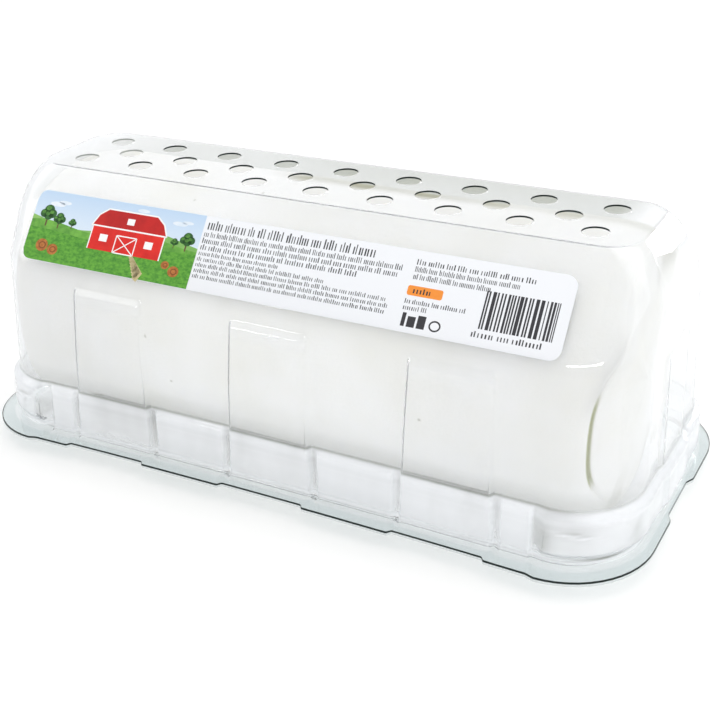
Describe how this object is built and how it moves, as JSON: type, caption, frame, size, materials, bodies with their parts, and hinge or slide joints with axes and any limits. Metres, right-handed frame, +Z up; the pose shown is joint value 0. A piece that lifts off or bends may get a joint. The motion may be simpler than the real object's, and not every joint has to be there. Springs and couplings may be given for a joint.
{
  "type": "aged goat cheese log in a clear pack",
  "caption": "Long white soft-ripened cheese log lying in a clear vented plastic dome that stands on a shallow clear tray, with a long printed label on the dome's slope.",
  "frame": {"origin": "middle of the footprint, on the surface that the tray stands on", "axes": "+X along the pack, +Y away from the labelled side, +Z up"},
  "size_m": [0.2196, 0.1046, 0.0849],
  "materials": {
    "cheese_rind": "soft white bloomy rind, slightly wrinkled",
    "clear_dome": "clear thermoformed sheet, glossy",
    "clear_tray": "clear thermoformed sheet, glossy",
    "label_paper": "white coated paper with a coloured print"
  },
  "bodies": {
    "root": {"cheese_log": "cheese_rind", "dome": "clear_dome", "tray": "clear_tray", "label": "label_paper"}
  },
  "joints": []
}
